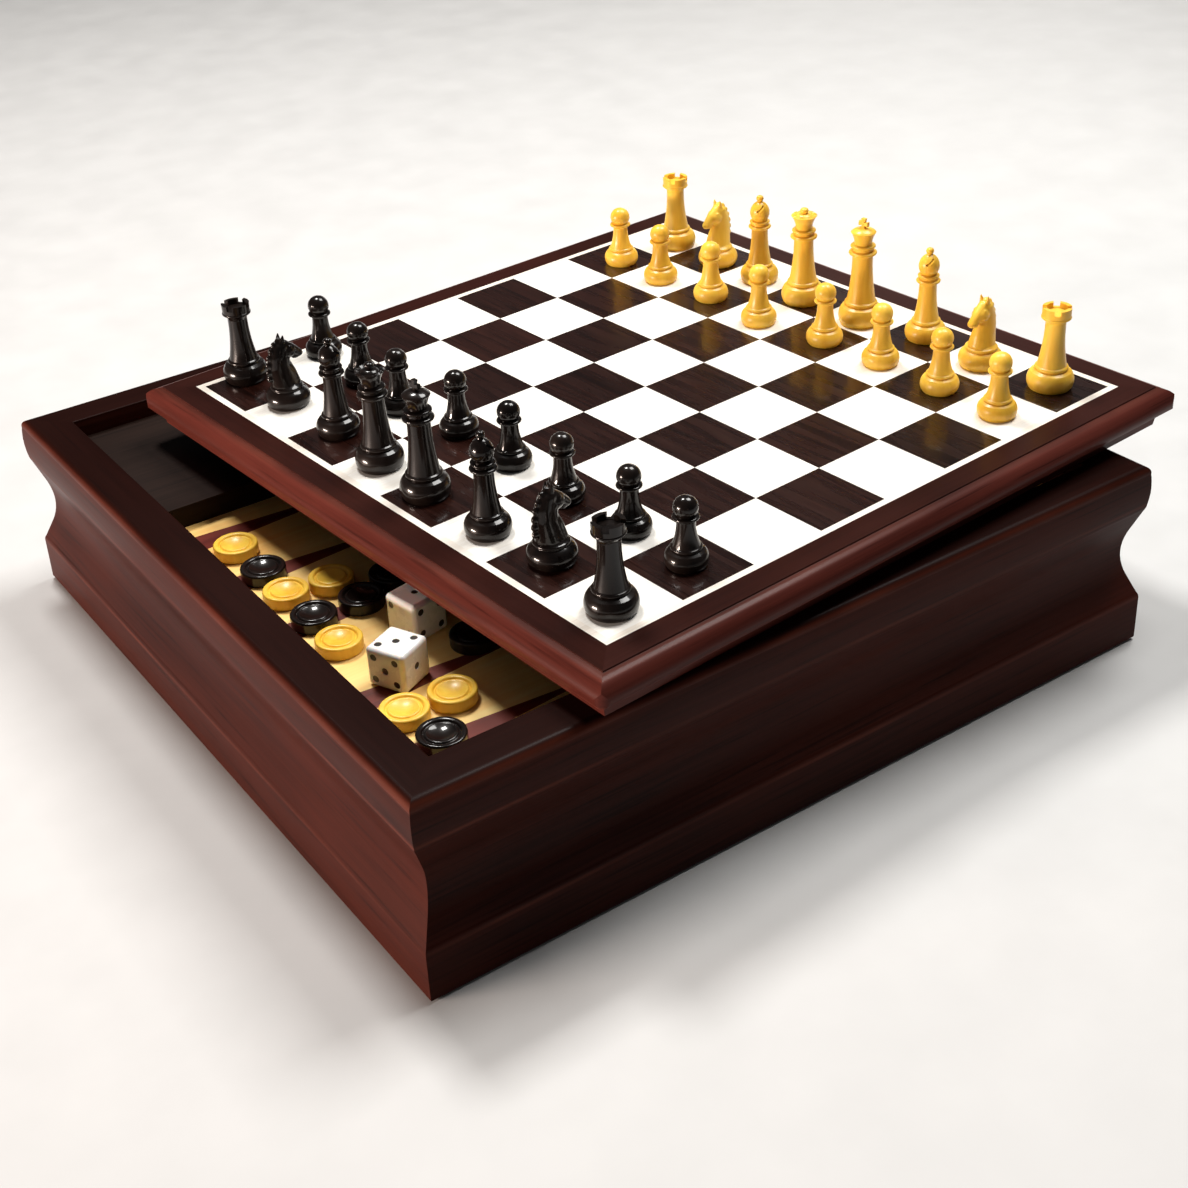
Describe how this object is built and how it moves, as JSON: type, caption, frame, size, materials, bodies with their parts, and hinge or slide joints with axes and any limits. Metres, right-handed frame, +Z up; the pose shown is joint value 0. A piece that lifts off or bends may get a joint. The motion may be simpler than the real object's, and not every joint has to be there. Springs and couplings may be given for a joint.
{
  "type": "games compendium box",
  "caption": "Square moulded wooden box with a sunken game field and piece well, under a lift-off inlaid chessboard lid carrying turned chessmen.",
  "frame": {"origin": "centre of the base's flat underside", "axes": "+Z up from the surface the box stands on; X and Y square to the base's sides, -Y the front wall, -X the left wall where the lid leaves the game field open; the lid is turned 4.6 degrees about Z"},
  "size_m": [0.3375, 0.3122, 0.1317],
  "materials": {
    "moulding_wood": "dark red-brown stain under gloss lacquer",
    "carcase_wood": "bare plywood and softwood",
    "dark_panel_wood": "near-black stain, satin",
    "screw_brass": "plain",
    "field_maple": "cream-yellow veneer, satin lacquer",
    "point_veneer": "dark red veneer, satin lacquer",
    "inlay_cream": "cream veneer under gloss lacquer",
    "square_light": "pale maple veneer under gloss lacquer",
    "square_dark": "mahogany veneer under gloss lacquer",
    "black_men": "black lacquer, gloss",
    "amber_men": "amber-tinted boxwood under gloss lacquer",
    "die_white": "gloss white plastic",
    "pip_black": "black filled pip"
  },
  "bodies": {
    "base": {"wall_front": "moulding_wood", "wall_right": "moulding_wood", "wall_back": "moulding_wood", "wall_left": "moulding_wood", "bottom_panel": "carcase_wood", "bottom_screws": "screw_brass", "corner_blocks": "carcase_wood", "board_cleats": "carcase_wood", "divider": "dark_panel_wood", "cover_ledge": "carcase_wood", "field_board": "field_maple", "dark_points": "point_veneer"},
    "cover": {"well_cover": "dark_panel_wood"},
    "lid": {"lid_rail_front": "moulding_wood", "lid_rail_right": "moulding_wood", "lid_rail_back": "moulding_wood", "lid_rail_left": "moulding_wood", "lid_core": "carcase_wood", "inlay_border": "inlay_cream", "light_squares": "square_light", "dark_squares": "square_dark"},
    "die_a": {"die_1": "die_white", "die_1_pips": "pip_black"},
    "die_b": {"die_2": "die_white", "die_2_pips": "pip_black"},
    "black_discs": {"black_checkers": "black_men"},
    "amber_discs": {"amber_checkers": "amber_men"},
    "black_rook_1": {"black_rook_1": "black_men"},
    "black_knight_1": {"black_knight_1": "black_men"},
    "black_bishop_1": {"black_bishop_1": "black_men"},
    "black_queen": {"black_queen": "black_men"},
    "black_king": {"black_king": "black_men"},
    "black_bishop_2": {"black_bishop_2": "black_men"},
    "black_knight_2": {"black_knight_2": "black_men"},
    "black_rook_2": {"black_rook_2": "black_men"},
    "black_pawn_1": {"black_pawn_1": "black_men"},
    "black_pawn_2": {"black_pawn_2": "black_men"},
    "black_pawn_3": {"black_pawn_3": "black_men"},
    "black_pawn_4": {"black_pawn_4": "black_men"},
    "black_pawn_5": {"black_pawn_5": "black_men"},
    "black_pawn_6": {"black_pawn_6": "black_men"},
    "black_pawn_7": {"black_pawn_7": "black_men"},
    "black_pawn_8": {"black_pawn_8": "black_men"},
    "amber_rook_1": {"amber_rook_1": "amber_men"},
    "amber_knight_1": {"amber_knight_1": "amber_men"},
    "amber_bishop_1": {"amber_bishop_1": "amber_men"},
    "amber_queen": {"amber_queen": "amber_men"},
    "amber_king": {"amber_king": "amber_men"},
    "amber_bishop_2": {"amber_bishop_2": "amber_men"},
    "amber_knight_2": {"amber_knight_2": "amber_men"},
    "amber_rook_2": {"amber_rook_2": "amber_men"},
    "amber_pawn_1": {"amber_pawn_1": "amber_men"},
    "amber_pawn_2": {"amber_pawn_2": "amber_men"},
    "amber_pawn_3": {"amber_pawn_3": "amber_men"},
    "amber_pawn_4": {"amber_pawn_4": "amber_men"},
    "amber_pawn_5": {"amber_pawn_5": "amber_men"},
    "amber_pawn_6": {"amber_pawn_6": "amber_men"},
    "amber_pawn_7": {"amber_pawn_7": "amber_men"},
    "amber_pawn_8": {"amber_pawn_8": "amber_men"}
  },
  "joints": [
    {"name": "lid_lift", "type": "slide", "parent": "base", "child": "lid", "axis": [0, 0, 1], "range_m": [0, 0.06]},
    {"name": "cover_lift", "type": "slide", "parent": "base", "child": "cover", "axis": [0, 0, 1], "range_m": [0, 0.0068]},
    {"name": "die_1_lift", "type": "slide", "parent": "base", "child": "die_a", "axis": [0, 0, 1], "range_m": [0, 0.06]},
    {"name": "die_2_lift", "type": "slide", "parent": "base", "child": "die_b", "axis": [0, 0, 1], "range_m": [0, 0.0012]},
    {"name": "black_checkers_lift", "type": "slide", "parent": "base", "child": "black_discs", "axis": [0, 0, 1], "range_m": [0, 0.011]},
    {"name": "amber_checkers_lift", "type": "slide", "parent": "base", "child": "amber_discs", "axis": [0, 0, 1], "range_m": [0, 0.011]},
    {"name": "black_rook_1_lift", "type": "slide", "parent": "lid", "child": "black_rook_1", "axis": [0, 0, 1], "range_m": [0, 0.05]},
    {"name": "black_knight_1_lift", "type": "slide", "parent": "lid", "child": "black_knight_1", "axis": [0, 0, 1], "range_m": [0, 0.05]},
    {"name": "black_bishop_1_lift", "type": "slide", "parent": "lid", "child": "black_bishop_1", "axis": [0, 0, 1], "range_m": [0, 0.05]},
    {"name": "black_queen_lift", "type": "slide", "parent": "lid", "child": "black_queen", "axis": [0, 0, 1], "range_m": [0, 0.05]},
    {"name": "black_king_lift", "type": "slide", "parent": "lid", "child": "black_king", "axis": [0, 0, 1], "range_m": [0, 0.05]},
    {"name": "black_bishop_2_lift", "type": "slide", "parent": "lid", "child": "black_bishop_2", "axis": [0, 0, 1], "range_m": [0, 0.05]},
    {"name": "black_knight_2_lift", "type": "slide", "parent": "lid", "child": "black_knight_2", "axis": [0, 0, 1], "range_m": [0, 0.05]},
    {"name": "black_rook_2_lift", "type": "slide", "parent": "lid", "child": "black_rook_2", "axis": [0, 0, 1], "range_m": [0, 0.05]},
    {"name": "black_pawn_1_lift", "type": "slide", "parent": "lid", "child": "black_pawn_1", "axis": [0, 0, 1], "range_m": [0, 0.05]},
    {"name": "black_pawn_2_lift", "type": "slide", "parent": "lid", "child": "black_pawn_2", "axis": [0, 0, 1], "range_m": [0, 0.05]},
    {"name": "black_pawn_3_lift", "type": "slide", "parent": "lid", "child": "black_pawn_3", "axis": [0, 0, 1], "range_m": [0, 0.05]},
    {"name": "black_pawn_4_lift", "type": "slide", "parent": "lid", "child": "black_pawn_4", "axis": [0, 0, 1], "range_m": [0, 0.05]},
    {"name": "black_pawn_5_lift", "type": "slide", "parent": "lid", "child": "black_pawn_5", "axis": [0, 0, 1], "range_m": [0, 0.05]},
    {"name": "black_pawn_6_lift", "type": "slide", "parent": "lid", "child": "black_pawn_6", "axis": [0, 0, 1], "range_m": [0, 0.05]},
    {"name": "black_pawn_7_lift", "type": "slide", "parent": "lid", "child": "black_pawn_7", "axis": [0, 0, 1], "range_m": [0, 0.05]},
    {"name": "black_pawn_8_lift", "type": "slide", "parent": "lid", "child": "black_pawn_8", "axis": [0, 0, 1], "range_m": [0, 0.05]},
    {"name": "amber_rook_1_lift", "type": "slide", "parent": "lid", "child": "amber_rook_1", "axis": [0, 0, 1], "range_m": [0, 0.05]},
    {"name": "amber_knight_1_lift", "type": "slide", "parent": "lid", "child": "amber_knight_1", "axis": [0, 0, 1], "range_m": [0, 0.05]},
    {"name": "amber_bishop_1_lift", "type": "slide", "parent": "lid", "child": "amber_bishop_1", "axis": [0, 0, 1], "range_m": [0, 0.05]},
    {"name": "amber_queen_lift", "type": "slide", "parent": "lid", "child": "amber_queen", "axis": [0, 0, 1], "range_m": [0, 0.05]},
    {"name": "amber_king_lift", "type": "slide", "parent": "lid", "child": "amber_king", "axis": [0, 0, 1], "range_m": [0, 0.05]},
    {"name": "amber_bishop_2_lift", "type": "slide", "parent": "lid", "child": "amber_bishop_2", "axis": [0, 0, 1], "range_m": [0, 0.05]},
    {"name": "amber_knight_2_lift", "type": "slide", "parent": "lid", "child": "amber_knight_2", "axis": [0, 0, 1], "range_m": [0, 0.05]},
    {"name": "amber_rook_2_lift", "type": "slide", "parent": "lid", "child": "amber_rook_2", "axis": [0, 0, 1], "range_m": [0, 0.05]},
    {"name": "amber_pawn_1_lift", "type": "slide", "parent": "lid", "child": "amber_pawn_1", "axis": [0, 0, 1], "range_m": [0, 0.05]},
    {"name": "amber_pawn_2_lift", "type": "slide", "parent": "lid", "child": "amber_pawn_2", "axis": [0, 0, 1], "range_m": [0, 0.05]},
    {"name": "amber_pawn_3_lift", "type": "slide", "parent": "lid", "child": "amber_pawn_3", "axis": [0, 0, 1], "range_m": [0, 0.05]},
    {"name": "amber_pawn_4_lift", "type": "slide", "parent": "lid", "child": "amber_pawn_4", "axis": [0, 0, 1], "range_m": [0, 0.05]},
    {"name": "amber_pawn_5_lift", "type": "slide", "parent": "lid", "child": "amber_pawn_5", "axis": [0, 0, 1], "range_m": [0, 0.05]},
    {"name": "amber_pawn_6_lift", "type": "slide", "parent": "lid", "child": "amber_pawn_6", "axis": [0, 0, 1], "range_m": [0, 0.05]},
    {"name": "amber_pawn_7_lift", "type": "slide", "parent": "lid", "child": "amber_pawn_7", "axis": [0, 0, 1], "range_m": [0, 0.05]},
    {"name": "amber_pawn_8_lift", "type": "slide", "parent": "lid", "child": "amber_pawn_8", "axis": [0, 0, 1], "range_m": [0, 0.05]}
  ]
}
